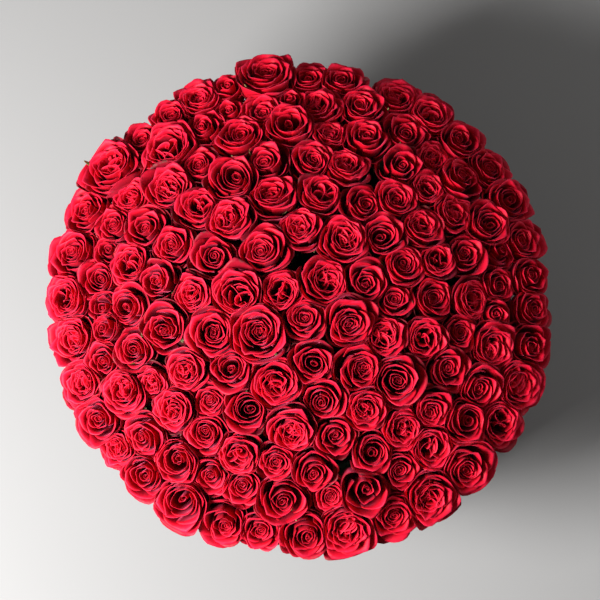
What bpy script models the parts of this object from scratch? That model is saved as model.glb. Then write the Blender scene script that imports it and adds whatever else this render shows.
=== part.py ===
"""Round flower box: board box, false floor, lift-out liner with wet foam, and a dome of roses.

Metres, +Z up. The origin is the middle of the box's underside.
"""

import math
import random

import bmesh
import bpy
import numpy as np
from mathutils import Matrix, Vector

# Board box
BOX_RADIUS = 0.225
BOX_HEIGHT = 0.210
WALL_THICKNESS = 0.0025
LINING_THICKNESS = 0.0015
BASE_THICKNESS = 0.004
FOOT_BAND_HEIGHT = 0.022
FOOT_BAND_THICKNESS = 0.0015
EDGING_THICKNESS = 0.0006
EDGING_DEPTH = 0.012
RIBBON_WIDTH = 0.038
RIBBON_THICKNESS = 0.0006
RIBBON_MIDDLE = 0.105
BOX_SIDES = 40

# False floor and liner
RISER_HEIGHT = 0.110
RISER_RADIUS = 0.178
RISER_WALL = 0.005
DECK_THICKNESS = 0.004
DECK_CLEARANCE = 0.0012
LINER_RADIUS = 0.2120
LINER_WALL = 0.001
LINER_TOP = 0.188
LINER_LIP = 0.0055

# Foam bricks, set on edge and trimmed to the round of the liner
BRICK_WIDTH = 0.085
BRICK_HEIGHT = 0.110
FOAM_RADIUS = 0.2100
FOAM_CHAMFER = 0.037
FOAM_CHAMFER_HEIGHT = 0.043
BRICK_JOINTS = (0.010, 0.036, -0.036, 0.036, -0.010)
BRICK_ROWS = len(BRICK_JOINTS)
# How far the untrimmed bricks reach past the trimmed shape
TRIM_MARGIN = 0.01

# Roses: the heads' widest places lie on a ball, so that the dome is steeper towards its edge
DOME_RADIUS = 0.460
DOME_CENTRE_Z = -0.139
HEAD_DIAMETERS = {"X": 0.055, "L": 0.047, "M": 0.040, "S": 0.0335, "B": 0.026}
# Each row: its radius, the bearing of its first rose in degrees, its bunches, and its roses' sizes
ROWS = (
    (0.240, 6, 10, "SMMMMMMMSXBMSSXMLMMMMSMLMSMLMLLMLMS"),
    (0.202, 6, 10, "SBMMSMMMBSBSLSSBSBBSMMMSSLBMSMMMMB"),
    (0.168, 13, 8, "MMSMLSLLSLMMMMSMMMSMMMMMSM"),
    (0.134, 13, 6, "SMMMMMLMMMLMSMLMMLMM"),
    (0.100, 14, 4, "MMMMLLMMLMLMLMS"),
    (0.065, 8, 2, "MLMLLXML"),
    (0.029, 40, 1, "LMM"),
)
HEAD_CLEARANCE = 0.0003
SETTLE_STEPS = 1500
HOME_STEPS = 250
HOME_PULL = 0.01
FIRM_PART = 0.94
LEAN_JITTER = math.radians(3)
HEIGHT_JITTER = 0.002
SIZE_LIFT = 0.15
SEED = 11

# One rose, turned about its stem. The outer petals give way to the neighbours around its firm part
HEAD_SIDES = 7
HOLE_SIDES = 5
RIM_RISE = 0.42
RIM_WIDTH = 0.66
CROWN_RISE = 0.48
CUP_DROP = 0.62
CUP_WIDTH = 0.80
CALYX_DEPTH = 0.020
CALYX_DEPTH_PER_DIAMETER = 0.22
CALYX_LIFT = 0.21
CALYX_RADIUS = 0.0045
STEM_RADIUS = 0.0026
STEM_GRIP = 0.035
TOUCH_WIDTH = 0.006
TOUCH_REACH = 0.45
TOUCH_SIDES = 4

# Shading: edges sharper than these stay sharp
BOX_SHARP_ANGLE = math.radians(40)
FOAM_SHARP_ANGLE = math.radians(30)
ROSE_SHARP_ANGLE = math.radians(65)

# Between neighbouring pieces
GAP = 0.0003

DECK_TOP = BASE_THICKNESS + GAP + RISER_HEIGHT + GAP + DECK_THICKNESS
FOAM_BASE = DECK_TOP + GAP + LINER_WALL + GAP
FOAM_TOP = FOAM_BASE + BRICK_HEIGHT


def material(name, colour, roughness):
    """A plain Principled material."""
    made = bpy.data.materials.new(name)
    made.use_nodes = True
    shader = made.node_tree.nodes["Principled BSDF"]
    shader.inputs["Base Color"].default_value = (*colour, 1)
    shader.inputs["Roughness"].default_value = roughness
    shader.inputs["Metallic"].default_value = 0
    return made


def add_object(name, mesh_data, finish=None, parent=None):
    """Puts a bmesh into the scene as an object, with its faces pointing out."""
    bmesh.ops.recalc_face_normals(mesh_data, faces=mesh_data.faces)
    mesh = bpy.data.meshes.new(name)
    mesh_data.to_mesh(mesh)
    mesh_data.free()
    if finish:
        mesh.materials.append(finish)
    placed = bpy.data.objects.new(name, mesh)
    placed.parent = parent
    bpy.context.scene.collection.objects.link(placed)
    return placed


def smooth(placed, angle):
    """Shades an object smooth, except at its sharp edges."""
    placed.data.shade_smooth()
    placed.data.set_sharp_from_angle(angle=angle)


def spin(mesh_data, outline, sides, place=Matrix.Identity(4), closed=False):
    """Turns (radius, height) points about Z into one body, and moves it to its place.

    A closed outline makes a ring. An open one starts and ends on the axis.
    """
    rings = []
    for radius, height in outline:
        if radius == 0:
            rings.append([mesh_data.verts.new(place @ Vector((0, 0, height)))] * sides)
            continue
        ring = []
        for side in range(sides):
            turn = 2 * math.pi * side / sides
            point = Vector((radius * math.cos(turn), radius * math.sin(turn), height))
            ring.append(mesh_data.verts.new(place @ point))
        rings.append(ring)
    pairs = list(zip(rings, rings[1:]))
    if closed:
        pairs.append((rings[-1], rings[0]))
    for low, high in pairs:
        for side in range(sides):
            after = (side + 1) % sides
            corners = [low[side], low[after], high[after], high[side]]
            # Next to the axis two corners are one point, and the face is a triangle
            mesh_data.faces.new(list(dict.fromkeys(corners)))


def turned(name, outline, finish, parent=None, closed=True):
    """One turned sub-part of the box, centred on the Z axis."""
    mesh_data = bmesh.new()
    spin(mesh_data, outline, BOX_SIDES, closed=closed)
    placed = add_object(name, mesh_data, finish, parent)
    smooth(placed, BOX_SHARP_ANGLE)
    return placed


def sleeve(inner, outer, low, high):
    """The outline of a plain tube."""
    return [(inner, low), (outer, low), (outer, high), (inner, high)]


def disc(radius, low, high):
    """The outline of a plain disc."""
    return [(0, low), (radius, low), (radius, high), (0, high)]


def make_box():
    """Board tube, lining, base and trims. All of these stay on the table."""
    black = material("black_wrap_paper", (0.012, 0.012, 0.013), 0.75)
    board = material("lining_board", (0.030, 0.029, 0.028), 0.85)
    satin = material("black_satin", (0.010, 0.010, 0.011), 0.35)
    brown = material("brown_board", (0.36, 0.25, 0.15), 0.90)
    wall_inside = BOX_RADIUS - WALL_THICKNESS
    lining_outside = wall_inside - GAP
    lining_inside = lining_outside - LINING_THICKNESS
    turned("box_wall", sleeve(wall_inside, BOX_RADIUS, 0, BOX_HEIGHT), black)
    turned("box_base", disc(lining_outside, 0, BASE_THICKNESS), board, closed=False)
    lining_low = BASE_THICKNESS + GAP
    turned("wall_lining", sleeve(lining_inside, lining_outside, lining_low, BOX_HEIGHT), board)
    band_inside = BOX_RADIUS + GAP
    band_outside = band_inside + FOOT_BAND_THICKNESS
    turned("foot_band", sleeve(band_inside, band_outside, 0, FOOT_BAND_HEIGHT), black)
    ribbon_low = RIBBON_MIDDLE - RIBBON_WIDTH / 2
    ribbon_outside = band_inside + RIBBON_THICKNESS
    ribbon = sleeve(band_inside, ribbon_outside, ribbon_low, ribbon_low + RIBBON_WIDTH)
    turned("ribbon_band", ribbon, satin)
    make_edging(lining_inside - GAP, BOX_RADIUS + GAP, black)
    make_riser(brown, lining_inside)


def make_edging(inside, outside, finish):
    """The paper edging, folded over the top of the tube and its lining."""
    low = BOX_HEIGHT - EDGING_DEPTH
    under = BOX_HEIGHT + GAP
    over = under + EDGING_THICKNESS
    outer_leg = [(outside, low), (outside + EDGING_THICKNESS, low)]
    top = [(outside + EDGING_THICKNESS, over), (inside - EDGING_THICKNESS, over)]
    inner_leg = [(inside - EDGING_THICKNESS, low), (inside, low)]
    turned("rim_edging", outer_leg + top + inner_leg + [(inside, under), (outside, under)], finish)


def make_riser(finish, lining_inside):
    """The false floor: a board ring and the deck that the liner stands on."""
    ring_low = BASE_THICKNESS + GAP
    ring_high = ring_low + RISER_HEIGHT
    ring = sleeve(RISER_RADIUS - RISER_WALL, RISER_RADIUS, ring_low, ring_high)
    turned("riser_ring", ring, finish)
    deck = disc(lining_inside - DECK_CLEARANCE, ring_high + GAP, DECK_TOP)
    turned("riser_deck", deck, finish, closed=False)


def make_liner(parent):
    """The waterproof tray, open at the top, with a lip turned outwards."""
    clear = material("liner_plastic", (0.55, 0.57, 0.56), 0.30)
    low = DECK_TOP + GAP
    floor = low + LINER_WALL
    inside = LINER_RADIUS - LINER_WALL
    lip = LINER_RADIUS + LINER_LIP
    shell = [(0, low), (LINER_RADIUS, low), (LINER_RADIUS, LINER_TOP - LINER_WALL)]
    shell += [(lip, LINER_TOP - LINER_WALL), (lip, LINER_TOP)]
    shell += [(inside, LINER_TOP), (inside, floor), (0, floor)]
    turned("liner", shell, clear, parent, closed=False)


def block(mesh_data, low, high):
    """An upright box between two corners."""
    low, high = Vector(low), Vector(high)
    middle = Matrix.Translation((low + high) / 2)
    size = Matrix.Diagonal((*(high - low), 1))
    bmesh.ops.create_cube(mesh_data, size=1, matrix=middle @ size)


def cutter(name, mesh_data):
    """A helper that shapes others and isn't a part itself."""
    placed = add_object(name, mesh_data)
    placed.hide_render = True
    placed.display_type = "WIRE"
    return placed


def cut(placed, operation, tool):
    """Adds an exact Boolean to an object."""
    boolean = placed.modifiers.new(f"{operation.lower()}_{tool.name}", "BOOLEAN")
    boolean.operation = operation
    boolean.solver = "EXACT"
    boolean.object = tool


def first_places():
    """For each rose, its row, its bearing and its size, before the roses settle."""
    starts = []
    for row, (radius, bearing, _, sizes) in enumerate(ROWS):
        widths = [HEAD_DIAMETERS[size] for size in sizes]
        turn = math.radians(bearing)
        for index, width in enumerate(widths):
            starts.append((row, radius, turn, width))
            after = widths[(index + 1) % len(widths)]
            turn += 2 * math.pi * (width + after) / 2 / sum(widths)
    return starts


def on_dome(points):
    """The nearest places on the ball, none further out than the outer row."""
    flat = np.hypot(points[:, 0], points[:, 1])
    kept = np.minimum(flat, ROWS[0][0]) / np.maximum(flat, 1e-9)
    points[:, :2] *= kept[:, None]
    flat = np.minimum(flat, ROWS[0][0])
    points[:, 2] = DOME_CENTRE_Z + np.sqrt(DOME_RADIUS**2 - flat**2)
    return points


def settle(homes, widths):
    """Pushes the heads apart over the dome until none presses into another."""
    points = on_dome(homes.copy())
    reach = (widths[:, None] + widths[None]) / 2 + HEAD_CLEARANCE
    # A head never presses on itself
    apart_from_self = DOME_RADIUS * np.eye(len(points))
    for step in range(SETTLE_STEPS):
        between = points[:, None] - points[None]
        distance = np.linalg.norm(between, axis=2) + apart_from_self
        squeeze = np.clip(reach - distance, 0, None) / distance
        push = (between * squeeze[..., None]).sum(axis=1) / 2
        pull = HOME_PULL * max(0, 1 - step / HOME_STEPS)
        points = on_dome(points + push + (homes - points) * pull)
    return points


def place_roses():
    """Each rose as (row, head centre, direction of the head, diameter), in order round each row."""
    starts = first_places()
    homes = np.array([(r * math.cos(turn), r * math.sin(turn), 0) for _, r, turn, _ in starts])
    widths = np.array([width for _, _, _, width in starts])
    points = settle(on_dome(homes), widths)
    chance = random.Random(SEED)
    roses = []
    for (row, _, _, width), point in zip(starts, points):
        flat = math.hypot(point[0], point[1])
        slope = math.asin(flat / DOME_RADIUS)
        lean = slope + chance.uniform(-LEAN_JITTER, LEAN_JITTER) * (row > 0)
        bearing = math.atan2(point[1], point[0]) + chance.uniform(-LEAN_JITTER, LEAN_JITTER) / 2
        out = Vector((math.cos(bearing), math.sin(bearing), 0))
        facing = out * math.sin(lean) + Vector((0, 0, math.cos(lean)))
        lift = SIZE_LIFT * (width - HEAD_DIAMETERS["M"])
        lift += chance.uniform(-HEIGHT_JITTER, HEIGHT_JITTER)
        roses.append((row, Vector(point) + facing * lift, facing, width))
    return roses


def stem_length(centre, facing):
    """How far below the head's centre the stem ends, a grip's depth inside the foam."""
    down_to_top = (centre.z - FOAM_TOP) / facing.z
    flat = Vector((centre.x, centre.y)).length
    outward = Vector((facing.x, facing.y)).length
    slope = FOAM_CHAMFER_HEIGHT / FOAM_CHAMFER
    low_edge = FOAM_TOP - FOAM_CHAMFER_HEIGHT
    above = centre.z - low_edge - slope * (FOAM_RADIUS - flat)
    down_to_chamfer = above / (facing.z + slope * outward)
    return max(down_to_top, down_to_chamfer) + STEM_GRIP


def facing_place(centre, facing):
    """The place of a body made about Z, once moved to a centre and turned to face a direction."""
    turn = Vector((0, 0, 1)).rotation_difference(facing).to_matrix().to_4x4()
    return Matrix.Translation(centre) @ turn


def add_rose(mesh_data, centre, facing, width):
    """Head, calyx and stem of one rose as one turned body."""
    radius = FIRM_PART * width / 2
    calyx = CALYX_DEPTH + CALYX_DEPTH_PER_DIAMETER * width - CALYX_LIFT * radius
    stem_end = stem_length(centre, facing)
    outline = [
        (0, CROWN_RISE * radius),
        (RIM_WIDTH * radius, RIM_RISE * radius),
        (radius, 0),
        (CUP_WIDTH * radius, -CUP_DROP * radius),
        (CALYX_RADIUS, -calyx),
        (STEM_RADIUS, -stem_end),
        (0, -stem_end),
    ]
    spin(mesh_data, outline, HEAD_SIDES, facing_place(centre, facing))


def add_stem_hole(mesh_data, centre, facing):
    """The way that one stem has pressed into the foam, a little wider and deeper than the stem."""
    depth = stem_length(centre, facing) + 2 * GAP
    spread = 1 / math.cos(math.pi / HOLE_SIDES)
    wide = (CALYX_RADIUS + GAP) * spread
    narrow = (STEM_RADIUS + GAP) * spread
    outline = [(0, 0), (wide, 0), (narrow, -depth), (0, -depth)]
    spin(mesh_data, outline, HOLE_SIDES, facing_place(centre, facing))


def add_touch(mesh_data, one, other, one_width, other_width):
    """A short web where the petals of two neighbours in a bunch press together."""
    along = (other - one).normalized()
    start = one + along * TOUCH_REACH * one_width / 2
    length = (other - along * TOUCH_REACH * other_width / 2 - start).length
    web = disc(TOUCH_WIDTH / 2, 0, length)
    spin(mesh_data, web, TOUCH_SIDES, facing_place(start, along))


def make_bunch(name, roses, finish, parent):
    """Neighbouring roses of one row, joined where their petals press together."""
    heads = bmesh.new()
    for _, centre, facing, width in roses:
        add_rose(heads, centre, facing, width)
    bunch = add_object(name, heads, finish, parent)
    smooth(bunch, ROSE_SHARP_ANGLE)
    webs = bmesh.new()
    for (_, one, _, one_width), (_, other, _, other_width) in zip(roses, roses[1:]):
        add_touch(webs, one, other, one_width, other_width)
    cut(bunch, "UNION", cutter(f"{name}_webs", webs))


def make_roses(roses, parent):
    """All bunches, numbered round each row. Row 1 is the outermost."""
    petals = material("rose_petals", (0.62, 0.008, 0.022), 0.55)
    for row, (_, _, bunches, sizes) in enumerate(ROWS):
        in_row = [rose for rose in roses if rose[0] == row]
        ends = [round(len(sizes) * number / bunches) for number in range(bunches + 1)]
        for number, (first, last) in enumerate(zip(ends, ends[1:]), start=1):
            make_bunch(f"rose_bunch_row{row + 1}_{number:02d}", in_row[first:last], petals, parent)


def foam_shape():
    """All the foam as one round block with its top edge cut off at a slant."""
    envelope = bmesh.new()
    edge = FOAM_TOP - FOAM_CHAMFER_HEIGHT
    outline = [(0, FOAM_BASE), (FOAM_RADIUS, FOAM_BASE), (FOAM_RADIUS, edge)]
    outline += [(FOAM_RADIUS - FOAM_CHAMFER, FOAM_TOP), (0, FOAM_TOP)]
    spin(envelope, outline, BOX_SIDES)
    return envelope


def meets(centre, facing, low, high):
    """Whether a stem's end runs through or beside the brick between two corners."""
    depth = stem_length(centre, facing)
    clear = 2 * STEM_RADIUS
    stem_end = centre - facing * depth
    stem_top = centre - facing * (depth - 2 * STEM_GRIP)
    for axis in (0, 1):
        ends = (stem_end[axis], stem_top[axis])
        if max(ends) < low[axis] - clear or min(ends) > high[axis] + clear:
            return False
    return True


def make_brick(name, low, high, trim, roses, finish, parent):
    """One brick, trimmed to the round, with a hole for each stem that meets it."""
    brick = bmesh.new()
    block(brick, low, high)
    placed = add_object(name, brick, finish, parent)
    cut(placed, "INTERSECT", trim)
    holes = bmesh.new()
    for _, centre, facing, _ in roses:
        if meets(centre, facing, low, high):
            add_stem_hole(holes, centre, facing)
    cut(placed, "DIFFERENCE", cutter(f"{name}_holes", holes))


def make_foam(roses, parent):
    """Bricks on edge in rows. Each row has one joint across it."""
    foam = material("wet_foam", (0.045, 0.13, 0.055), 0.90)
    trim = cutter("foam_trim", foam_shape())
    smooth(trim, FOAM_SHARP_ANGLE)
    end = FOAM_RADIUS + TRIM_MARGIN
    low_z, high_z = FOAM_BASE - TRIM_MARGIN, FOAM_TOP + TRIM_MARGIN
    for row, joint in enumerate(BRICK_JOINTS):
        low_y = (row - BRICK_ROWS / 2) * BRICK_WIDTH + GAP / 2
        high_y = low_y + BRICK_WIDTH - GAP
        for side, low_x, high_x in (("a", -end, joint - GAP / 2), ("b", joint + GAP / 2, end)):
            low, high = (low_x, low_y, low_z), (high_x, high_y, high_z)
            make_brick(f"foam_block_{row + 1}{side}", low, high, trim, roses, foam, parent)


def clear_scene():
    """Removes whatever the scene starts with."""
    for placed in list(bpy.data.objects):
        bpy.data.objects.remove(placed, do_unlink=True)


def main():
    """The box, and everything that lifts out of it together."""
    clear_scene()
    make_box()
    lift = bpy.data.objects.new("arrangement_lift", None)
    bpy.context.scene.collection.objects.link(lift)
    roses = place_roses()
    make_liner(lift)
    make_foam(roses, lift)
    make_roses(roses, lift)


main()
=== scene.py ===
"""The looks of the round flower box: petals, sepals, stems, papered box, ribbon, liner and foam."""

import math
import random

import bpy
import numpy as np
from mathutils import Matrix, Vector


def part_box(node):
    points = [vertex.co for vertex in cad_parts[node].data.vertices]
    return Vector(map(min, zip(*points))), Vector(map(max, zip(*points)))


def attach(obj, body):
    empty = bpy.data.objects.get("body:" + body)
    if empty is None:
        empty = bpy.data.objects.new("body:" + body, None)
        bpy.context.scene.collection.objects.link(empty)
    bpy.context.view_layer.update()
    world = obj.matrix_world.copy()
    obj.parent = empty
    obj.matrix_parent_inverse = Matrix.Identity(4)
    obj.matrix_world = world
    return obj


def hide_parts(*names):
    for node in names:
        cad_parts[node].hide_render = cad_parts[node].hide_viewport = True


# The roses settle on the dome exactly as in the CAD, from the same driving dimensions
DOME_RADIUS = 0.460
DOME_CENTRE_Z = -0.139
HEAD_DIAMETERS = {"X": 0.055, "L": 0.047, "M": 0.040, "S": 0.0335, "B": 0.026}
# Each row: its radius, the bearing of its first rose in degrees, its bunches, and its roses' sizes
ROWS = (
    (0.240, 6, 10, "SMMMMMMMSXBMSSXMLMMMMSMLMSMLMLLMLMS"),
    (0.202, 6, 10, "SBMMSMMMBSBSLSSBSBBSMMMSSLBMSMMMMB"),
    (0.168, 13, 8, "MMSMLSLLSLMMMMSMMMSMMMMMSM"),
    (0.134, 13, 6, "SMMMMMLMMMLMSMLMMLMM"),
    (0.100, 14, 4, "MMMMLLMMLMLMLMS"),
    (0.065, 8, 2, "MLMLLXML"),
    (0.029, 40, 1, "LMM"),
)
HEAD_CLEARANCE = 0.0003
SETTLE_STEPS = 1500
HOME_STEPS = 250
HOME_PULL = 0.01
LEAN_JITTER = math.radians(3)
HEIGHT_JITTER = 0.002
SIZE_LIFT = 0.15
SEED = 11
CALYX_DEPTH = 0.020
CALYX_DEPTH_PER_DIAMETER = 0.22
CALYX_RISE_PER_DIAMETER = 0.1
STEM_GRIP = 0.035
FOAM_RADIUS = 0.2100
FOAM_CHAMFER = 0.037
FOAM_CHAMFER_HEIGHT = 0.043

# Petals: the points of their grids, and how far round the rose each one starts from the last
ACROSS = 12
ALONG = 10
GOLDEN_ANGLE = math.radians(137.5)
# How much wider than their CAD bodies the blooms open, in the two outer rows and in the others
EDGE_SPREAD, INNER_SPREAD = 1.05, 0.97
# The petals' feet stand this far down the head, as a part of its depth
FOOT_DEPTH = 0.86
# Where along a petal its wall ends and its lip starts to roll
BEND_START = 0.70
# How many loose petals each bloom has below its own, and how many more in the two outer rows
GUARDS = 6
EDGE_GUARDS = 4
# The guard petals of the two outer rows get less painted shade and less wilting
EDGE_GUARD_PAINTED_SHADE_AND_WILT = 0.6
# How far a head nods about the top of its stem, in degrees, in the outer row and in the others
EDGE_NOD, INNER_NOD = 5, 13
# Thicknesses of the leaves. Petals are thinner in the heart, and all thin out towards the rim
PETAL_THICKNESS = 0.00052
HEART_THINNING = 0.00014
FOLD_THICKNESS = 0.00045
SEPAL_THICKNESS = 0.0004
RIM_THINNING = 0.45

# Neighbours press on each other from this part of the way to the plane between them
PRESS_START = 0.72
# Roses further apart than this don't touch
PRESS_REACH = 0.066
# How far a petal and a guard petal may reach past the plane between two roses
PRESS_SLACK = 0.0006
GUARD_SLACK = 0.0035
# Past this radius the outermost petals are held in, and they never pass it by more than the room
EDGE_START = 0.266
EDGE_ROOM = 0.008

# Calyx, sepals, stem and thorns
SEPALS = 5
SEPAL_ACROSS = 4
SEPAL_ALONG = 8
SEPAL_HALF_WIDTH = 0.0030
SEPAL_START_RADIUS = 0.0035
LONG_SEPAL_CHANCE = 0.10
CALYX_SIDES = 10
# Heights over the calyx's middle, and the calyx's radius there
CALYX_HEIGHTS = (0.006, 0.003, 0.0, -0.003, -0.006, -0.009)
CALYX_RADII = (0.0052, 0.0056, 0.0054, 0.0046, 0.0033, 0.0025)
STEM_STATIONS = 9
STEM_SIDES = 8
STEM_RADIUS = 0.0024
STEM_SWELL = 0.0002
STEM_SWAY = 0.0006
THORNS = 3
THORN_SIDES = 5
THORN_RADII = (0.0014, 0.0007, 0.0001)

# How each kind of bloom is built. Radii and heights are fractions of the head's radius:
# petals, petals of the heart, folds of a crowded heart, degrees that the lips roll through,
# radius of the heart, radius where the other petals start, height of the rim, how far the heart
# sinks below it, and how far the outer petals fall below it
KIND_FACTS = ("petals", "heart", "folds", "curl", "core", "moat", "rim", "sink", "fall")
KINDS = {
    "spiral": (17, 4, 0, 100, 0.05, 0.05, 0.42, 0.12, 0.30),
    "open": (23, 4, 0, 110, 0.06, 0.10, 0.38, 0.16, 0.30),
    "hollow": (16, 4, 0, 105, 0.12, 0.38, 0.48, 0.28, 0.30),
    "broken": (16, 0, 6, 105, 0.12, 0.34, 0.44, 0.10, 0.30),
    "quartered": (17, 0, 12, 100, 0.05, 0.05, 0.36, 0.00, 0.26),
    "tight": (14, 4, 0, 80, 0.05, 0.05, 0.52, 0.04, 0.40),
    "bud": (9, 3, 0, 60, 0.05, 0.05, 0.75, 0.00, 0.35),
}
# The form of each rose, in the order of ROWS
FORM_LETTERS = {
    "s": "spiral",
    "o": "open",
    "h": "hollow",
    "k": "broken",
    "q": "quartered",
    "t": "tight",
    "b": "bud",
}
FORMS = (
    "tohsskqshobqssqsokqqsqthsstqoqokqts",
    "tbhsqsoqbsbtkqsbsbbsqshsssobskhsqb",
    "sqktsqhosqskhsqqokoshqossq",
    "kqoqoshkossqohqsqsko",
    "ohskoqsqohqsoqs",
    "sqqokoho",
    "qko",
)

# Material slots of a bunch of roses
PETAL, GREEN = 0, 1

# The round pieces of the box: sides of their polygons, and edges sharper than this stay sharp
SIDES = 180
SHARP_ANGLE = math.radians(50)
WALL_THICKNESS = 0.0025
LINING_THICKNESS = 0.0015
EDGING_THICKNESS = 0.0006
EDGING_BEND = 0.0012
BAND_THICKNESS = 0.0015
RIBBON_THICKNESS = 0.0006
RISER_WALL = 0.005
DISC_BEVEL = 0.0008
LINER_RADIUS = 0.2120
LINER_WALL = 0.001
LINER_RIBS = 60
LINER_RIB_DEPTH = 0.0005
# The liner's ribs keep this far from its floor and from its lip
LINER_PLAIN_FOOT = 0.004
LINER_PLAIN_TOP = 0.008
GAP = 0.0003

# Overlaps of wrapped sheets: the bearing of the free end, half its width in radians, and its step
WALL_SEAM = (2.2, 0.03, 0.00025)
BAND_SEAM = (2.6, 0.03, 0.00025)
RIBBON_SEAM = (1.57, 0.05, 0.0006)
RISER_SEAM = (0.6, 0.04, 0.0006)
# How abruptly such an overlap ends, and the layer on the outside that it lifts
SEAM_STEEPNESS = 300
SEAM_LAYER = 0.0008

# Floor, lights and camera
FLOOR_RADIUS = 2.7
FLOOR_BEND = 1.5
FLOOR_HEIGHT = -0.0005
FLOOR_COLOUR = (0.44, 0.435, 0.43, 1)
BACKDROP_HEIGHT = 3.4
DOME_MIDDLE = Vector((0.0, 0.0, 0.25))
# Each light: its name, its place, its width and its power
LIGHTS = (
    ("key", (-1.13, -0.58, 1.20), 0.6, 57),
    ("fill", (1.1, 0.7, 1.5), 1.5, 3),
    ("low_fill", (1.9, 0.3, 0.22), 1.0, 4),
)
WORLD_STRENGTH = 0.09
CAMERA_ELEVATION = math.radians(80)
CAMERA_DISTANCE = 2.2
CAMERA_TARGET = Vector((0.0, 0.005, 0.235))
# How much of the scene the picture shows at the camera's target
SEEN_WIDTH = 0.634

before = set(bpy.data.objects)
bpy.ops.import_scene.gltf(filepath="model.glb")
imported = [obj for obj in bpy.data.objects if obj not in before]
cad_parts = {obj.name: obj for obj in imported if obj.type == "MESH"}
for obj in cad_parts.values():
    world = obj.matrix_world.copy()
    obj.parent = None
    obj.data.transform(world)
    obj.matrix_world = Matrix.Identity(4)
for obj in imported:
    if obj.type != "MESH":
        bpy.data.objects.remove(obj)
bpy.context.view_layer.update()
FOAM_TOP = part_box("foam_block_3a")[1][2]


# ---- placing the roses -------------------------------------------------------------------------


def first_places():
    """For each rose, its row, its bearing and its size, before the roses settle."""
    starts = []
    for row, (radius, bearing, _, sizes) in enumerate(ROWS):
        widths = [HEAD_DIAMETERS[size] for size in sizes]
        turn = math.radians(bearing)
        for index, width in enumerate(widths):
            starts.append((row, radius, turn, width))
            after = widths[(index + 1) % len(widths)]
            turn += 2 * math.pi * (width + after) / 2 / sum(widths)
    return starts


def on_dome(points):
    """The nearest places on the ball, none further out than the outer row."""
    flat = np.hypot(points[:, 0], points[:, 1])
    kept = np.minimum(flat, ROWS[0][0]) / np.maximum(flat, 1e-9)
    points[:, :2] *= kept[:, None]
    flat = np.minimum(flat, ROWS[0][0])
    points[:, 2] = DOME_CENTRE_Z + np.sqrt(DOME_RADIUS**2 - flat**2)
    return points


def settle(homes, widths):
    """Pushes the heads apart over the dome until none presses into another."""
    points = on_dome(homes.copy())
    reach = (widths[:, None] + widths[None]) / 2 + HEAD_CLEARANCE
    apart_from_self = DOME_RADIUS * np.eye(len(points))
    for step in range(SETTLE_STEPS):
        between = points[:, None] - points[None]
        distance = np.linalg.norm(between, axis=2) + apart_from_self
        squeeze = np.clip(reach - distance, 0, None) / distance
        push = (between * squeeze[..., None]).sum(axis=1) / 2
        pull = HOME_PULL * max(0, 1 - step / HOME_STEPS)
        points = on_dome(points + push + (homes - points) * pull)
    return points


def place_roses():
    """Each rose as (row, head centre, direction of the head, diameter), in order round each row."""
    starts = first_places()
    homes = np.array([(r * math.cos(turn), r * math.sin(turn), 0) for _, r, turn, _ in starts])
    widths = np.array([width for _, _, _, width in starts])
    points = settle(on_dome(homes), widths)
    chance = random.Random(SEED)
    roses = []
    for (row, _, _, width), point in zip(starts, points):
        flat = math.hypot(point[0], point[1])
        slope = math.asin(flat / DOME_RADIUS)
        lean = slope + chance.uniform(-LEAN_JITTER, LEAN_JITTER) * (row > 0)
        bearing = math.atan2(point[1], point[0]) + chance.uniform(-LEAN_JITTER, LEAN_JITTER) / 2
        out = Vector((math.cos(bearing), math.sin(bearing), 0))
        facing = out * math.sin(lean) + Vector((0, 0, math.cos(lean)))
        lift = SIZE_LIFT * (width - HEAD_DIAMETERS["M"])
        lift += chance.uniform(-HEIGHT_JITTER, HEIGHT_JITTER)
        roses.append((row, Vector(point) + facing * lift, facing, width))
    return roses


def stem_length(centre, facing):
    """How far below the head's centre the stem ends, a grip's depth inside the foam."""
    down_to_top = (centre.z - FOAM_TOP) / facing.z
    flat = Vector((centre.x, centre.y)).length
    outward = Vector((facing.x, facing.y)).length
    slope = FOAM_CHAMFER_HEIGHT / FOAM_CHAMFER
    low_edge = FOAM_TOP - FOAM_CHAMFER_HEIGHT
    above = centre.z - low_edge - slope * (FOAM_RADIUS - flat)
    down_to_chamfer = above / (facing.z + slope * outward)
    return max(down_to_top, down_to_chamfer) + STEM_GRIP


# ---- mesh helpers ------------------------------------------------------------------------------


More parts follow.
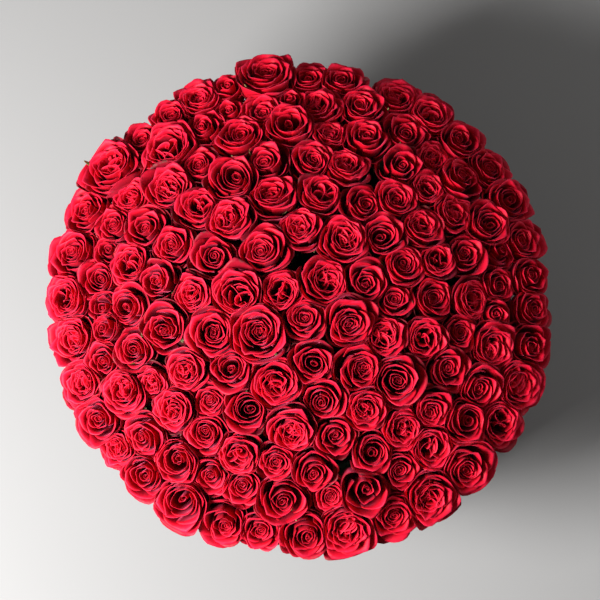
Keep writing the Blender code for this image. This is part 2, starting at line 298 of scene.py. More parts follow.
class Shape:
    """Points, faces, face materials and per-point facts that become one mesh."""

    def __init__(self):
        self.points, self.faces, self.slots, self.facts = [], [], [], []
        self.count = 0

    def add(self, points, faces, slot=0, facts=None):
        """Adds a body. faces is a list of arrays, each with three or four corners to a row."""
        self.points.append(points)
        for group in faces:
            self.faces.append(group + self.count)
            self.slots.append(np.full(len(group), slot))
        self.facts.append(np.zeros((len(points), 4)) if facts is None else facts)
        self.count += len(points)

    def build(self, name, materials, sharp=None):
        """The mesh object, smooth but for edges that are sharper than sharp."""
        points = np.concatenate(self.points)
        corners = np.concatenate([group.ravel() for group in self.faces])
        sides = np.concatenate([np.full(len(group), group.shape[1]) for group in self.faces])
        mesh = bpy.data.meshes.new(name)
        mesh.vertices.add(len(points))
        mesh.vertices.foreach_set("co", points.ravel().astype(np.float32))
        mesh.loops.add(len(corners))
        mesh.loops.foreach_set("vertex_index", corners.astype(np.int32))
        mesh.polygons.add(len(sides))
        starts = np.concatenate([[0], np.cumsum(sides)[:-1]])
        mesh.polygons.foreach_set("loop_start", starts.astype(np.int32))
        for material in materials:
            mesh.materials.append(material)
        mesh.polygons.foreach_set("material_index", np.concatenate(self.slots).astype(np.int32))
        mesh.update(calc_edges=True)
        mesh.shade_smooth()
        if sharp:
            mesh.set_sharp_from_angle(angle=sharp)
        # Red is how far along a leaf a point lies, and alpha how much of a guard petal it is on.
        # The petal material paints shade and highlight from them, and alpha also sets the wilting
        facts = mesh.attributes.new("petal", "FLOAT_COLOR", "POINT")
        facts.data.foreach_set("color", np.concatenate(self.facts).ravel().astype(np.float32))
        placed = bpy.data.objects.new(name, mesh)
        bpy.context.scene.collection.objects.link(placed)
        return placed


def grid_faces(across, along):
    """Quads of one closed leaf: its front sheet, its back sheet and its rim."""
    columns, rows = across + 1, along + 1
    number = np.arange(columns * rows).reshape(rows, columns)
    front = np.stack([number[:-1, :-1], number[:-1, 1:], number[1:, 1:], number[1:, :-1]], -1)
    front = front.reshape(-1, 4)
    back = front[:, ::-1] + columns * rows
    edge = np.concatenate([number[0], number[1:, -1], number[-1, -2::-1], number[-2:0:-1, 0]])
    after = np.roll(edge, -1)
    rim = np.stack([after, edge, edge + columns * rows, after + columns * rows], -1)
    return np.concatenate([front, back, rim])


def thicken(sheet, thickness):
    """Front and back points of a leaf, from a grid of points along its middle."""
    normal = np.cross(np.gradient(sheet, axis=1), np.gradient(sheet, axis=0))
    length = np.linalg.norm(normal, axis=2, keepdims=True)
    half = normal / np.maximum(length, 1e-12) * (thickness / 2)[..., None]
    return np.concatenate([(sheet + half).reshape(-1, 3), (sheet - half).reshape(-1, 3)])


def tube(path, radii, sides):
    """A closed round tube along a list of points, as (points, faces)."""
    path, radii = np.asarray(path, float), np.asarray(radii, float)
    along = np.gradient(path, axis=0)
    along /= np.linalg.norm(along, axis=1, keepdims=True)
    first = np.cross(along, (0.31, 0.87, 0.05))
    first /= np.linalg.norm(first, axis=1, keepdims=True)
    second = np.cross(along, first)
    turn = np.linspace(0, 2 * math.pi, sides, endpoint=False)
    cos, sin = np.cos(turn)[None, :, None], np.sin(turn)[None, :, None]
    ring = first[:, None] * cos + second[:, None] * sin
    points = (path[:, None] + ring * radii[:, None, None]).reshape(-1, 3)
    points = np.concatenate([points, path[:1], path[-1:]])
    number = np.arange(len(path) * sides).reshape(len(path), sides)
    after = np.roll(number, -1, axis=1)
    walls = np.stack([number[:-1], after[:-1], after[1:], number[1:]], -1).reshape(-1, 4)
    low, high = len(points) - 2, len(points) - 1
    bottom = np.stack([after[0], number[0], np.full(sides, low)], -1)
    top = np.stack([number[-1], after[-1], np.full(sides, high)], -1)
    return points, [walls, bottom, top]


# ---- petals ------------------------------------------------------------------------------------

PETAL_FACES = grid_faces(ACROSS, ALONG)


def leaf_grid(across, along):
    """How far across a leaf (-1 to 1) and along it (0 to 1) each point of its grid lies."""
    u = np.linspace(-1, 1, across + 1)[None, :]
    v = np.linspace(0, 1, along + 1)[:, None]
    return u, v


def leaf_facts(s, guard=0.0):
    """The facts of a leaf's two sheets, from how far along it each point of its grid lies."""
    facts = np.zeros((*s.shape, 4))
    facts[..., 0] = np.clip(s, 0, 1)
    facts[..., 3] = guard
    return np.concatenate([facts.reshape(-1, 4)] * 2)


def bezier(controls, s):
    """A cubic curve through four (radius, height) points."""
    weights = ((1 - s) ** 3, 3 * (1 - s) ** 2 * s, 3 * (1 - s) * s**2, s**3)
    radius = sum(weight * point[0] for weight, point in zip(weights, controls))
    height = sum(weight * point[1] for weight, point in zip(weights, controls))
    return radius, height


def petal(radius, depth, share, style, chance, twist, guard=0.0):
    """One petal that faces +X from the rose's axis, as (points, facts).

    share runs from 0 in the heart to 1 outside, and guard from 0 to 1 for the last guard petal.
    The plain numbers here and in fold_petal are ratios of shape, and lengths are in head radii.
    """
    u, v = leaf_grid(ACROSS, ALONG)
    v = v**0.8
    across = u + 0 * v
    heart = share < style["heart"] / style["petals"]
    spread = math.radians(120 if heart else 82 - 22 * share) * chance.uniform(0.90, 1.10)
    uneven = 0.04 + 0.10 * (1 - share)
    inner = style["core"] if heart else style["moat"]
    reach = radius * (inner + (0.95 - inner) * share ** style["crowding"])
    reach *= chance.uniform(1 - uneven, 1 + uneven)
    top = radius * (style["rim"] - style["sink"] * (1 - share) ** 2 - style["fall"] * share**3)
    top += radius * chance.uniform(-0.05, 0.05)
    curl = math.radians(style["curl"]) * (0.15 + 0.95 * share**1.2) * chance.uniform(0.75, 1.2)
    lip = radius * (0.05 + 0.32 * share**1.5)
    tip = radius * 0.15 * share**1.2 * chance.uniform(0.3, 1.5)
    if guard:
        reach *= 1.04 + 0.24 * guard
        top -= radius * (0.14 + 0.50 * guard) * chance.uniform(0.8, 1.2)
        curl *= chance.uniform(0.4, 1.1)
        lip *= chance.uniform(1.2, 1.7 + 0.7 * guard)
        tip *= 0.35
        spread *= chance.uniform(0.75, 1.05)
    # The top outline is rounded, with a small point on the outer petals
    point = (0.02 if guard else 0.09) * share * np.exp(-((across / 0.22) ** 2))
    s = v * (1 - 0.24 * np.abs(across) ** 2.4 + point)
    belly = reach * (1.18 - 0.22 * share)
    foot = 0.10 * radius + 0.14 * reach
    low = -FOOT_DEPTH * depth + 0.12 * radius * share
    below_rim = (belly * 1.02, top - (0.62 - 0.20 * share) * radius)
    wall = ((foot, low), (belly * 0.96, low + 0.10 * radius), below_rim, (reach, top))
    r, z = bezier(wall, np.clip(s / BEND_START, 0, 1))
    # Above the wall the lip rolls outwards, more at its sides than at its tip
    lean = math.atan2(reach - below_rim[0], top - below_rim[1])
    turn = curl * (0.62 + 0.95 * np.abs(across) ** 1.5 * share)
    part = np.clip((s - BEND_START) / (1 - BEND_START), 0, 1.3)
    angle = lean + turn * part
    r = r + (part > 0) * lip / turn * (np.cos(lean) - np.cos(angle))
    z = z + (part > 0) * lip / turn * (np.sin(angle) - np.sin(lean))
    # One side is tucked under its neighbour, and the rim waves
    rise = np.clip(s, 0, 1) ** 2
    r = r * (1 + twist * (0.06 + 0.07 * share) * across * (0.4 + 0.6 * rise))
    size = radius * (0.012 + 0.028 * share)
    waves = [chance.uniform(0, 2 * math.pi) for _ in range(3)]
    r = r + size * np.sin(2.1 * math.pi * across * chance.uniform(0.6, 1.0) + waves[0]) * rise
    z = z + size * 0.9 * np.sin(1.7 * math.pi * across + waves[1]) * rise
    z = z + size * 0.35 * np.sin(5.0 * math.pi * across + waves[2]) * rise**2
    # Some blooms have frilled rims
    frill = radius * style["frill"] * (1 - 0.7 * share)
    frilled = frill * np.sin(chance.uniform(7, 12) * across + chance.uniform(0, 6.3)) * rise**2
    r = r + frilled
    # The rim comes to a corner at the tip
    r = r + tip * (np.exp(-np.abs(across) / 0.32) - 0.32) * rise
    narrow = 0.42 + 0.58 * np.sin(np.clip(s / 0.62, 0, 1) * math.pi / 2)
    theta = across * spread * narrow
    sheet = np.stack([r * np.cos(theta), r * np.sin(theta), z], -1)
    thickness = PETAL_THICKNESS - HEART_THINNING * (1 - share)
    points = thicken(sheet, thickness * (1 - RIM_THINNING * rise))
    return points, leaf_facts(s, guard)


def turn_about_z(points, angle):
    """The points turned counterclockwise about the Z axis."""
    cos, sin = math.cos(angle), math.sin(angle)
    x, y, z = points.T
    return np.stack([x * cos - y * sin, x * sin + y * cos, z], -1)


def lean_out(points, low, angle):
    """Tips a petal about its foot, away from the axis along +X."""
    cos, sin = math.cos(angle), math.sin(angle)
    x, y, z = points[:, 0], points[:, 1], points[:, 2] - low
    return np.stack([x * cos + z * sin, y, z * cos - x * sin + low], -1)


def fold_petal(radius, depth, number, style, chance):
    """A petal of a crowded heart, folded round a line of its own beside the rose's axis."""
    count = style["folds"]
    own = chance.uniform(0.20, 0.34) * radius
    away = radius * 0.44 * math.sqrt((number + 0.5) / count)
    way = number * GOLDEN_ANGLE + chance.uniform(-0.3, 0.3)
    u, v = leaf_grid(ACROSS, ALONG)
    v = v**0.8
    across = u + 0 * v
    s = v * (1 - 0.18 * np.abs(across) ** 2.2)
    top = radius * (style["rim"] + 0.02 - 0.16 * (away / radius))
    top += radius * chance.uniform(-0.07, 0.07)
    low = -0.4 * depth
    z = low + (top - low) * s
    rise = np.clip(s, 0, 1) ** 2
    # A tight fold: two sides that meet in a rounded crease, wider apart at the rim
    spread = math.radians(chance.uniform(95, 150))
    theta = across * spread
    squash = chance.uniform(0.30, 0.6)
    open_up = 0.55 + 0.55 * rise + 0.25 * np.clip((s - 0.8) / 0.2, 0, 1) ** 2
    x = own * np.cos(theta) * squash * open_up
    y = own * np.sin(theta) * open_up * (1 + 0.25 * np.abs(across))
    phase = chance.uniform(0, 6.3)
    x = x + 0.045 * radius * np.sin(2.6 * across + phase) * rise
    z = z + 0.04 * radius * np.sin(3.9 * across + phase) * rise
    sheet = np.stack([x, y, z], -1)
    points = thicken(sheet, FOLD_THICKNESS * (1 - RIM_THINNING * rise))
    points = turn_about_z(points, chance.uniform(0, 2 * math.pi))
    return points + away * np.array([math.cos(way), math.sin(way), 0]), leaf_facts(s)


def bloom(radius, depth, kind, chance, extra_guards=0):
    """All petals of one rose about the Z axis, as a list of (points, facts)."""
    style = dict(zip(KIND_FACTS, KINDS[kind]), crowding=chance.uniform(0.92, 1.50))
    style["frill"] = 0.05 * chance.uniform(0, 1) ** 2 + (0.03 if style["folds"] else 0)
    guards = GUARDS + extra_guards
    style["sink"] += chance.uniform(-0.02, 0.18)
    twist = chance.choice((-1, 1))
    bearing = chance.uniform(0, 2 * math.pi)
    offset = np.array([chance.uniform(-1, 1), chance.uniform(-1, 1), 0]) * radius * 0.20
    count = style["petals"]
    squeeze_way = chance.uniform(0, math.pi)
    way = np.array([math.cos(squeeze_way), math.sin(squeeze_way), 0])
    squeeze = chance.uniform(0.0, 0.42)
    made = []
    for number in range(style["folds"]):
        points, facts = fold_petal(radius, depth, number, style, chance)
        made.append((points + offset, facts))
    for number in range(count + guards):
        guard = max(0, number - count + 1) / guards
        share = min(1, number / (count - 1))
        if style["folds"]:
            share = 0.50 + 0.50 * share
        points, facts = petal(radius, depth, share, style, chance, twist, guard)
        tip = math.radians(chance.uniform(-2.5, 2.5)) * (0.3 + share)
        points = lean_out(points, -FOOT_DEPTH * depth, tip)
        turn = number * GOLDEN_ANGLE + chance.uniform(-0.25, 0.25)
        points = turn_about_z(points, bearing + twist * turn)
        # The heart is pressed a little flat in one direction
        points = points - squeeze * (1 - share) ** 1.5 * (points @ way)[:, None] * way
        made.append((points + offset * (1 - share), facts))
    return made


# ---- sepals and stems --------------------------------------------------------------------------

SEPAL_FACES = grid_faces(SEPAL_ACROSS, SEPAL_ALONG)


def sepal(radius, depth, chance):
    """One pointed sepal, which starts under the head and bends away, as (points, facts)."""
    u, v = leaf_grid(SEPAL_ACROSS, SEPAL_ALONG)
    length = radius * chance.uniform(0.85, 1.25)
    start = math.radians(chance.uniform(40, 75))
    bend = math.radians(chance.uniform(20, 110))
    if chance.random() < LONG_SEPAL_CHANCE:
        length = radius * chance.uniform(1.5, 1.9)
        bend = math.radians(chance.uniform(-25, 15))
    angle = start + bend * v
    step = length / SEPAL_ALONG
    r = SEPAL_START_RADIUS + np.cumsum(np.sin(angle), axis=0) * step
    z = -depth + 0.002 + np.cumsum(np.cos(angle), axis=0) * step
    half = SEPAL_HALF_WIDTH * (1 - v) ** 0.6 * np.sin(np.clip(v * 4 + 0.6, 0, math.pi / 2))
    half = half + 0.00015
    y = u * half
    z = z + 0.25 * np.abs(u) * half
    sheet = np.stack([r + 0 * u, y, z], -1)
    return thicken(sheet, np.full(sheet.shape[:2], SEPAL_THICKNESS)), leaf_facts(v + 0 * u)


def add_greens(shape, place, hold, radius, depth, stem_end, chance):
    """The calyx, its sepals and the stem with a few thorns."""
    heights = np.array(CALYX_HEIGHTS)
    path = np.stack([0 * heights, 0 * heights, heights - depth], -1)
    points, faces = tube(path, CALYX_RADII, CALYX_SIDES)
    shape.add(place(points), faces, GREEN)
    for number in range(SEPALS):
        points, facts = sepal(radius, depth, chance)
        points = turn_about_z(points, 2 * math.pi * number / SEPALS + 0.3)
        shape.add(hold(place(points)), [SEPAL_FACES], GREEN, facts)
    stations = np.linspace(-depth - 0.006, -stem_end, STEM_STATIONS)
    sway = STEM_SWAY * np.sin(np.linspace(0, 5, STEM_STATIONS) + chance.uniform(0, 6))
    path = np.stack([sway, sway[::-1], stations], -1)
    radii = STEM_RADIUS + STEM_SWELL * np.sin(np.linspace(0, 7, STEM_STATIONS))
    points, faces = tube(path, radii, STEM_SIDES)
    shape.add(place(points), faces, GREEN)
    for _ in range(THORNS):
        height = -depth - 0.010 - chance.uniform(0, 0.03)
        root = np.array([0.0018, 0, height])
        spike = [root, root + (0.0018, 0, -0.0002), root + (0.0036, 0, -0.0012)]
        points, faces = tube(spike, THORN_RADII, THORN_SIDES)
        points = turn_about_z(points, chance.uniform(0, 2 * math.pi))
        shape.add(place(points), faces, GREEN)


# ---- roses -------------------------------------------------------------------------------------


def press(points, index, centres, widths, slack=PRESS_SLACK):
    """Keeps a rose's petals on their own side of the planes between it and its neighbours."""
    centre, radius = centres[index], widths[index] / 2
    for other in range(len(centres)):
        apart = centres[other] - centre
        distance = np.linalg.norm(apart)
        if other == index or distance > PRESS_REACH:
            continue
        limit = distance * radius / (radius + widths[other] / 2) + slack
        way = apart / distance
        along = (points - centre) @ way
        start = PRESS_START * limit
        over = np.clip(along - start, 0, None)
        room = limit - start
        held = room * (1 - np.exp(-over / room))
        points = points - ((over - held) * (along > start))[:, None] * way
    # The outer petals droop no further than this from the box's axis
    flat = np.hypot(points[:, 0], points[:, 1])
    over = np.clip(flat - EDGE_START, 0, None)
    kept = np.minimum(flat, EDGE_START) + EDGE_ROOM * (1 - np.exp(-over / EDGE_ROOM))
    points[:, :2] *= (kept / np.maximum(flat, 1e-9))[:, None]
    return points


def make_roses(petal_material, green_material):
    """One piece for each bunch of the CAD."""
    roses = place_roses()
    centres = np.array([tuple(rose[1]) for rose in roses])
    widths = np.array([rose[3] for rose in roses])
    kinds = [FORM_LETTERS[letter] for letter in "".join(FORMS)]
    first_of_row = 0
    for row, (_, _, bunches, sizes) in enumerate(ROWS):
        ends = [round(len(sizes) * number / bunches) for number in range(bunches + 1)]
        for number, (first, last) in enumerate(zip(ends, ends[1:]), start=1):
            shape = Shape()
            for index in range(first_of_row + first, first_of_row + last):
                add_rose(shape, index, roses[index], kinds[index], centres, widths)
            name = f"roses_row{row + 1}_{number:02d}"
            piece = shape.build(name, [petal_material, green_material])
            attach(piece, "arrangement")
            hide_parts(f"rose_bunch_row{row + 1}_{number:02d}")
        first_of_row += len(sizes)


def add_rose(shape, index, rose, kind, centres, widths):
    """Petals, sepals and stem of one rose, in place."""
    _, centre, facing, width = rose
    near_edge = index < len(ROWS[0][3]) + len(ROWS[1][3])
    radius = width / 2 * (EDGE_SPREAD if near_edge else INNER_SPREAD)
    depth = CALYX_DEPTH + CALYX_DEPTH_PER_DIAMETER * width
    # The calyx sits a little higher than in the CAD
    depth -= CALYX_RISE_PER_DIAMETER * width
    turn = np.array(Vector((0, 0, 1)).rotation_difference(facing).to_matrix())
    middle = np.array(centre)
    chance = random.Random(SEED * 1000 + index)

    def place(points):
        return points @ turn.T + middle

    def hold(points, slack=PRESS_SLACK):
        return press(points, index, centres, widths, slack)

    # The head nods a little about the top of its stem
    nod_way = chance.uniform(0, 2 * math.pi)
    nod = math.radians(chance.uniform(0, EDGE_NOD if index < len(ROWS[0][3]) else INNER_NOD))
    extra_guards = EDGE_GUARDS if near_edge else 0
    for points, facts in bloom(radius, depth, kind, chance, extra_guards):
        points = turn_about_z(lean_out(turn_about_z(points, -nod_way), -depth, nod), nod_way)
        slack = GUARD_SLACK if facts[0, 3] else PRESS_SLACK
        facts[:, 3] *= EDGE_GUARD_PAINTED_SHADE_AND_WILT if near_edge else 1
        shape.add(hold(place(points), slack), [PETAL_FACES], PETAL, facts)
    add_greens(shape, place, hold, radius, depth, stem_length(centre, facing), chance)


# ---- materials ---------------------------------------------------------------------------------


def new_material(name, roughness, specular=0.5):
    """A Principled material and its node tree."""
    material = bpy.data.materials.new(name)
    material.use_nodes = True
    shader = material.node_tree.nodes["Principled BSDF"]
    shader.inputs["Roughness"].default_value = roughness
    shader.inputs["Specular IOR Level"].default_value = specular
    return material, material.node_tree, shader


def add_node(tree, kind, inputs=(), **settings):
    """A shader node with its settings, its input values and its links."""
    made = tree.nodes.new(kind)
    for name, value in settings.items():
        setattr(made, name, value)
    for name, value in dict(inputs).items():
        if isinstance(value, bpy.types.NodeSocket):
            tree.links.new(value, made.inputs[name])
        else:
            made.inputs[name].default_value = value
    return made


def ramp(tree, factor, stops):
    """A colour ramp through (position, colour) stops."""
    made = add_node(tree, "ShaderNodeValToRGB", {"Fac": factor})
    elements = made.color_ramp.elements
    while len(elements) < len(stops):
        elements.new(0.5)
    for element, (position, colour) in zip(elements, stops):
        element.position = position
        element.color = (*colour, 1)
    return made.outputs["Color"]


def mix(tree, factor, one, other, blend="MIX"):
    """Two colours blended by a factor. Each of the three is a value or a socket."""
    made = add_node(tree, "ShaderNodeMix", data_type="RGBA", blend_type=blend)
    for name, value in (("Factor", factor), ("A", one), ("B", other)):
        if isinstance(value, bpy.types.NodeSocket):
            tree.links.new(value, made.inputs[name])
        elif name == "Factor":
            made.inputs[name].default_value = value
        else:
            made.inputs[name].default_value = (*value, 1)
    return made.outputs["Result"]


def noise(tree, scale, detail=4, coordinates=None, distortion=0):
    """The strength of a noise texture, in the object's own place unless coordinates are given."""
    inputs = {"Scale": scale, "Detail": detail, "Distortion": distortion}
    if coordinates:
        inputs["Vector"] = coordinates
    return add_node(tree, "ShaderNodeTexNoise", inputs).outputs["Fac"]


def object_place(tree, scale=(1, 1, 1)):
    """Coordinates fixed to the object, stretched by scale."""
    place = add_node(tree, "ShaderNodeTexCoord").outputs["Object"]
    return add_node(tree, "ShaderNodeMapping", {"Vector": place, "Scale": scale}).outputs["Vector"]


def bump(tree, shader, height, strength, distance):
    """Gives a shader a fine relief."""
    inputs = {"Height": height, "Strength": strength, "Distance": distance}
    made = add_node(tree, "ShaderNodeBump", inputs)
    tree.links.new(made.outputs["Normal"], shader.inputs["Normal"])


def petal_look():
    """Velvety crimson petals, browned where they wilt. Painted shade darkens them towards the foot
    and on the low guard petals, and the rims are brighter and pinker, partly their own colour and
    partly a painted highlight.
    """
    material, tree, shader = new_material("rose_petal", 0.52, 0.18)
    shader.inputs["Sheen Weight"].default_value = 0.60
    shader.inputs["Sheen Roughness"].default_value = 0.35
    shader.inputs["Sheen Tint"].default_value = (1.0, 0.12, 0.26, 1)
    facts = add_node(tree, "ShaderNodeAttribute", attribute_name="petal")
    split = add_node(tree, "ShaderNodeSeparateColor", {"Color": facts.outputs["Color"]})
    # Along each petal: near black at the foot, which is painted shade deep in the bloom, up to a
    # bright pinkish rim, which is partly the petal's own colour and partly a painted highlight
    stops = (
        (0.0, (0.03, 0.0, 0.001)),
        (0.45, (0.25, 0.001, 0.008)),
        (0.75, (0.66, 0.002, 0.015)),
        (0.93, (0.97, 0.009, 0.046)),
        (1.0, (1.0, 0.022, 0.080)),
    )
    base = ramp(tree, split.outputs["Red"], stops)
    mottle = ramp(tree, noise(tree, 60), ((0.3, (0.76, 0.62, 0.66)), (0.7, (1, 1, 1))))
    base = mix(tree, 1.0, base, mottle, "MULTIPLY")
    # Guard petals get painted shade, since they lie low in the gaps between the heads
    inputs = {0: facts.outputs["Alpha"], 1: 0.9}
    guard_painted_shade = add_node(tree, "ShaderNodeMath", inputs, operation="MULTIPLY").outputs[0]
    base = mix(tree, guard_painted_shade, base, (0.11, 0.003, 0.011))
    # Wilted edges of the loose outer petals
    edge = ramp(tree, split.outputs["Red"], ((0.90, (0, 0, 0)), (0.99, (1, 1, 1))))
    patches = ramp(tree, noise(tree, 35, 3), ((0.50, (0, 0, 0)), (0.62, (1, 1, 1))))
    wilt = mix(tree, 1.0, edge, patches, "MULTIPLY")
    wilt = mix(tree, 1.0, wilt, facts.outputs["Alpha"], "MULTIPLY")
    base = mix(tree, wilt, base, (0.17, 0.075, 0.060))
    tree.links.new(base, shader.inputs["Base Color"])
    bump(tree, shader, noise(tree, 900, 3), 0.12, 0.0004)
    return material


def green_look():
    """Waxy green of sepals and stems, a little reddish in places."""
    material, tree, shader = new_material("rose_green", 0.42, 0.4)
    tone = noise(tree, 120)
    stops = (
        (0.3, (0.035, 0.085, 0.018)),
        (0.6, (0.085, 0.17, 0.035)),
        (0.8, (0.13, 0.075, 0.03)),
    )
    # Sepals are paler towards their tips
    facts = add_node(tree, "ShaderNodeAttribute", attribute_name="petal")
    split = add_node(tree, "ShaderNodeSeparateColor", {"Color": facts.outputs["Color"]})
    tip = ramp(tree, split.outputs["Red"], ((0.25, (0, 0, 0)), (0.9, (1, 1, 1))))
    base = mix(tree, tip, ramp(tree, tone, stops), (0.33, 0.36, 0.13))
    tree.links.new(base, shader.inputs["Base Color"])
    bump(tree, shader, noise(tree, 500), 0.3, 0.0005)
    return material


def paper_look(name, dark, light, grain):
    """Uncoated paper or board with fine fibres, an embossed grain with painted shade in its
    hollows, and marks from handling.
    """
    material, tree, shader = new_material(name, 0.74, 0.3)
    marks = noise(tree, 9, 8, distortion=0.6)
    fibres = noise(tree, grain, 5, object_place(tree, (1, 1, 0.35)))
    emboss = noise(tree, grain * 0.28, 2, object_place(tree, (1, 1, 1.6)))
    stops = ((0.30, dark), (0.75, light))
    base = mix(tree, 0.5, ramp(tree, marks, stops), ramp(tree, fibres, stops))
    # Painted shade: the colour is darker where the embossed grain sits low
    emboss_painted_shade = ramp(tree, emboss, ((0.35, (0.62, 0.62, 0.62)), (0.65, (1, 1, 1))))
    base = mix(tree, 1.0, base, emboss_painted_shade, "MULTIPLY")
    tree.links.new(base, shader.inputs["Base Color"])
    height = add_node(tree, "ShaderNodeMath", {0: fibres, 1: emboss}, operation="ADD").outputs[0]
    bump(tree, shader, height, 0.55, 0.0008)
    return material


def satin_look():
    """Black satin ribbon: fine threads along its length, and shallow creases across it with painted
    shade in them.
    """
    material, tree, shader = new_material("black_satin", 0.34, 0.5)
    shader.inputs["Sheen Weight"].default_value = 0.15
    threads = noise(tree, 1600, 2, object_place(tree, (0.04, 0.04, 1)))
    creases = noise(tree, 26, 3, object_place(tree, (1, 1, 0.12)))
    base = ramp(tree, threads, ((0.3, (0.006, 0.006, 0.007)), (0.7, (0.022, 0.021, 0.024))))
    # Painted shade: the colour is darker where the creases run low in the relief
    crease_painted_shade = ramp(tree, creases, ((0.35, (0.7, 0.7, 0.7)), (0.65, (1, 1, 1))))
    tree.links.new(mix(tree, 1.0, base, crease_painted_shade, "MULTIPLY"), shader.inputs["Base Color"])
    inputs = {0: threads, 1: 0.05, 2: creases}
    height = add_node(tree, "ShaderNodeMath", inputs, operation="MULTIPLY_ADD").outputs[0]
    bump(tree, shader, height, 0.5, 0.004)
    return material


def plastic_look():
    """Cloudy waterproof plastic."""
    material, tree, shader = new_material("liner_plastic", 0.48, 0.35)
    cloud = noise(tree, 25, 4)
    base = ramp(tree, cloud, ((0.3, (0.38, 0.40, 0.39)), (0.7, (0.50, 0.52, 0.51))))
    tree.links.new(base, shader.inputs["Base Color"])
    bump(tree, shader, cloud, 0.1, 0.001)
    return material


def foam_look():
    """Wet floral foam: dark green, finely porous with painted shade in the pores, and with darker
    wet patches.
    """
    material, tree, shader = new_material("wet_foam", 0.72, 0.35)
    pores = noise(tree, 1400, 2)
    wet = noise(tree, 18, 5)
    base = mix(tree, wet, (0.020, 0.060, 0.028), (0.060, 0.150, 0.070))
    # Painted shade: the colour is darker in the pores, where the relief sits low
    pore_painted_shade = ramp(tree, pores, ((0.4, (0.2, 0.2, 0.2)), (0.6, (1, 1, 1))))
    base = mix(tree, 0.5, base, pore_painted_shade, "MULTIPLY")
    tree.links.new(base, shader.inputs["Base Color"])
    bump(tree, shader, pores, 0.8, 0.0006)
    return material


# ---- box ---------------------------------------------------------------------------------------


def spin(outline, waves=None):
    """The points of an outline turned about the Z axis, and their numbers, ring by ring.

    waves(radius, height, turn) gives how far the surface stands out from the outline.
    """
    turn = np.linspace(0, 2 * math.pi, SIDES, endpoint=False)[None]
    radii = outline[:, :1] + 0 * turn
    heights = outline[:, 1:] + 0 * turn
    if waves:
        radii = radii + waves(radii, heights, turn)
    points = np.stack([radii * np.cos(turn), radii * np.sin(turn), heights], -1).reshape(-1, 3)
    return points, np.arange(radii.size).reshape(radii.shape)


def turned(node, outline, material, body, waves=None):
    """Replaces a round CAD node by its outline turned about the axis.

    The outline runs counterclockwise in (radius, height). Where it meets the axis it is open.
    """
    outline = np.array(outline, float)
    on_axis = outline[0, 0] == 0
    ends = outline[[0, -1]]
    if on_axis:
        outline = outline[1:-1]
    points, number = spin(outline, waves)
    after = np.roll(number, -1, axis=1)
    upper, upper_after = np.roll(number, -1, axis=0), np.roll(after, -1, axis=0)
    faces = np.stack([number, after, upper_after, upper], -1)
    if on_axis:
        faces = faces[:-1]
        low, high = len(points), len(points) + 1
        points = np.concatenate([points, [[0, 0, ends[0, 1]], [0, 0, ends[1, 1]]]])
        bottom = np.stack([after[0], number[0], np.full(SIDES, low)], -1)
        top = np.stack([number[-1], after[-1], np.full(SIDES, high)], -1)
        groups = [faces.reshape(-1, 4), bottom, top]
    else:
        groups = [faces.reshape(-1, 4)]
    shape = Shape()
    shape.add(points, groups)
    piece = shape.build(f"{node}_look", [material], sharp=SHARP_ANGLE)
    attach(piece, body)
    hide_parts(node)
    return piece


def corner(radius, height, start, bevel, steps=3):
    """Points round a rounded corner whose sharp place would be at (radius, height)."""
    inward = math.radians(start + 45)
    away = bevel * math.sqrt(2)
    middle = (radius - away * math.cos(inward), height - away * math.sin(inward))
    angles = [math.radians(start + 90 * step / steps) for step in range(steps + 1)]
    return [(middle[0] + bevel * math.cos(a), middle[1] + bevel * math.sin(a)) for a in angles]


def sleeve(inner, outer, low, high, bevel):
    """The outline of a tube wall with rounded edges."""
    outline = corner(inner, low, 180, bevel) + corner(outer, low, 270, bevel)
    return outline + corner(outer, high, 0, bevel) + corner(inner, high, 90, bevel)


def disc(outer, low, high, bevel):
    """The outline of a round plate with a rounded edge."""
    rim = corner(outer, low, 270, bevel) + corner(outer, high, 0, bevel)
    inside = [(outer * part, low) for part in (0.25, 0.5, 0.75)]
    top = [(radius, high) for radius, _ in reversed(inside)]
    return [(0, low), *inside, *rim, *top, (0, high)]


def overlap(bearing, half_width, step):
    """A wrapped sheet's free end, which stands out by a step over part of the turn."""

    def waves(radii, heights, turn):
        off = np.abs((turn - bearing + math.pi) % (2 * math.pi) - math.pi)
        outside = radii > radii.max() - SEAM_LAYER
        return outside * step / (1 + np.exp((off - half_width) * SEAM_STEEPNESS))

    return waves


def reach_of(node):
    """(outer radius, low, high) of a round CAD node."""
    low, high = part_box(node)
    return high[0], low[2], high[2]


def make_box():
    """The papered box with its ribbon, the false floor, the liner and the foam's material."""
    black = paper_look("black_wrap_paper", (0.010, 0.010, 0.011), (0.026, 0.025, 0.026), 700)
    lining = paper_look("lining_board", (0.022, 0.021, 0.020), (0.050, 0.047, 0.044), 500)
    brown = paper_look("brown_board", (0.26, 0.17, 0.10), (0.42, 0.30, 0.19), 420)
    satin = satin_look()
    make_sleeve("box_wall", WALL_THICKNESS, 0.0006, black, WALL_SEAM)
    make_sleeve("foot_band", BAND_THICKNESS, 0.0005, black, BAND_SEAM)
    ribbon = make_sleeve(
        "ribbon_band", RIBBON_THICKNESS, 0.00028, satin, RIBBON_SEAM
    )
    make_sleeve("wall_lining", LINING_THICKNESS, 0.0003, lining)
    make_edging(black)
    make_disc("box_base", lining)
    make_sleeve("riser_ring", RISER_WALL, 0.0006, brown, RISER_SEAM)
    make_disc("riser_deck", brown)
    make_liner()
    foam = foam_look()
    for node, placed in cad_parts.items():
        if node.startswith("foam_block"):
            placed.data.materials.clear()
            placed.data.materials.append(foam)


def make_sleeve(node, thickness, bevel, material, seam=None):
    """A tube wall of the box, with the overlap of its wrapping if it has a seam."""
    outer, low, high = reach_of(node)
    outline = sleeve(outer - thickness, outer, low, high, bevel)
    return turned(node, outline, material, "box", overlap(*seam) if seam else None)


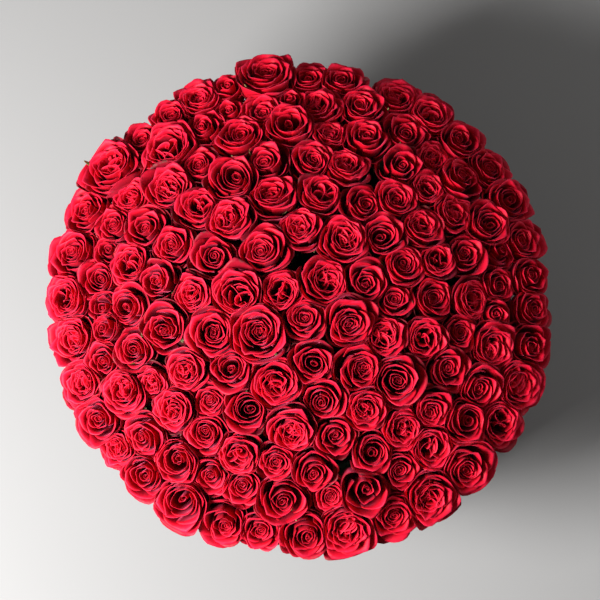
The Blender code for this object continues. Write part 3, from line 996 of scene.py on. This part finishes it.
def make_disc(node, material):
    """A round board of the box."""
    outer, low, high = reach_of(node)
    turned(node, disc(outer, low, high, DISC_BEVEL), material, "box")


def make_edging(material):
    """Paper folded over the wall's top edge, from outside to inside."""
    wall = reach_of("box_wall")[0]
    outer, low, high = reach_of("rim_edging")
    inner = wall - WALL_THICKNESS - GAP - LINING_THICKNESS - GAP
    inner -= EDGING_THICKNESS
    thick = EDGING_THICKNESS
    outline = [(outer - thick, low), (outer, low)]
    outline += corner(outer, high, 0, EDGING_BEND) + corner(inner, high, 90, EDGING_BEND)
    outline += [(inner, low), (inner + thick, low), (inner + thick, high - thick)]
    outline += [(outer - thick, high - thick)]
    turned("rim_edging", outline, material, "box")


def make_liner():
    """A ribbed waterproof tray with a lip."""
    lip, low, high = reach_of("liner")
    inside = LINER_RADIUS - LINER_WALL
    foot, top = low + LINER_PLAIN_FOOT, high - LINER_PLAIN_TOP
    outline = [(0, low), (0.1, low), *corner(LINER_RADIUS, low, 270, 0.0007)]
    outline += [(LINER_RADIUS, foot), (LINER_RADIUS, top), (LINER_RADIUS, high - LINER_WALL)]
    outline += [(lip, high - LINER_WALL), (lip, high), (inside, high)]
    outline += [(inside, top), (inside, low + LINER_WALL + LINER_PLAIN_FOOT)]
    outline += [(inside, low + LINER_WALL), (0.1, low + LINER_WALL), (0, low + LINER_WALL)]

    def ribs(radii, heights, turn):
        body = (heights > foot - 0.0005) & (heights < top + 0.0005) & (radii > inside - 0.0001)
        return body * LINER_RIB_DEPTH * (1 + np.cos(LINER_RIBS * turn))

    turned("liner", outline, plastic_look(), "arrangement", ribs)


# ---- floor, light and camera -------------------------------------------------------------------


def add_area(name, place, size, power):
    """A square area light that faces the dome."""
    light = bpy.data.lights.new(name, "AREA")
    light.size = size
    light.energy = power
    placed = bpy.data.objects.new(name, light)
    placed.location = place
    placed.rotation_euler = (DOME_MIDDLE - Vector(place)).to_track_quat("-Z", "Y").to_euler()
    bpy.context.scene.collection.objects.link(placed)


def make_floor():
    """A round pale floor that curves up into a backdrop all round."""
    bend = [math.radians(angle) for angle in range(0, 91, 6)]
    outline = [(FLOOR_RADIUS * part, 0) for part in (0.1, 0.3, 0.6)]
    for angle in bend:
        radius = FLOOR_RADIUS + FLOOR_BEND * math.sin(angle)
        outline.append((radius, FLOOR_BEND * (1 - math.cos(angle))))
    outline.append((FLOOR_RADIUS + FLOOR_BEND, BACKDROP_HEIGHT))
    points, number = spin(np.array(outline) + (0, FLOOR_HEIGHT))
    after = np.roll(number, -1, axis=1)
    walls = np.stack([number[1:], after[1:], after[:-1], number[:-1]], -1).reshape(-1, 4)
    middle = np.stack([number[0], after[0], np.full(SIDES, len(points))], -1)
    shape = Shape()
    shape.add(np.concatenate([points, [[0, 0, FLOOR_HEIGHT]]]), [walls, middle])
    material, _, shader = new_material("floor", 0.9, 0.2)
    shader.inputs["Base Color"].default_value = FLOOR_COLOUR
    return shape.build("floor", [material])


def make_studio():
    """The floor, the lights and a faint even light from all round."""
    make_floor()
    for light in LIGHTS:
        add_area(*light)
    world = bpy.data.worlds.new("studio")
    bpy.context.scene.world = world
    world.use_nodes = True
    background = world.node_tree.nodes["Background"]
    background.inputs["Color"].default_value = (1, 1, 1, 1)
    background.inputs["Strength"].default_value = WORLD_STRENGTH
    bpy.context.scene.view_settings.view_transform = "Standard"


def make_camera():
    """A camera on the -Y side, almost straight above the dome."""
    data = bpy.data.cameras.new("camera")
    data.lens = data.sensor_width * CAMERA_DISTANCE / SEEN_WIDTH
    camera = bpy.data.objects.new("camera", data)
    back = Vector((0, -math.cos(CAMERA_ELEVATION), math.sin(CAMERA_ELEVATION)))
    camera.location = CAMERA_TARGET + back * CAMERA_DISTANCE
    camera.rotation_euler = (-back).to_track_quat("-Z", "Y").to_euler()
    bpy.context.scene.collection.objects.link(camera)
    bpy.context.scene.camera = camera


make_camera()
make_studio()
make_box()
make_roses(petal_look(), green_look())
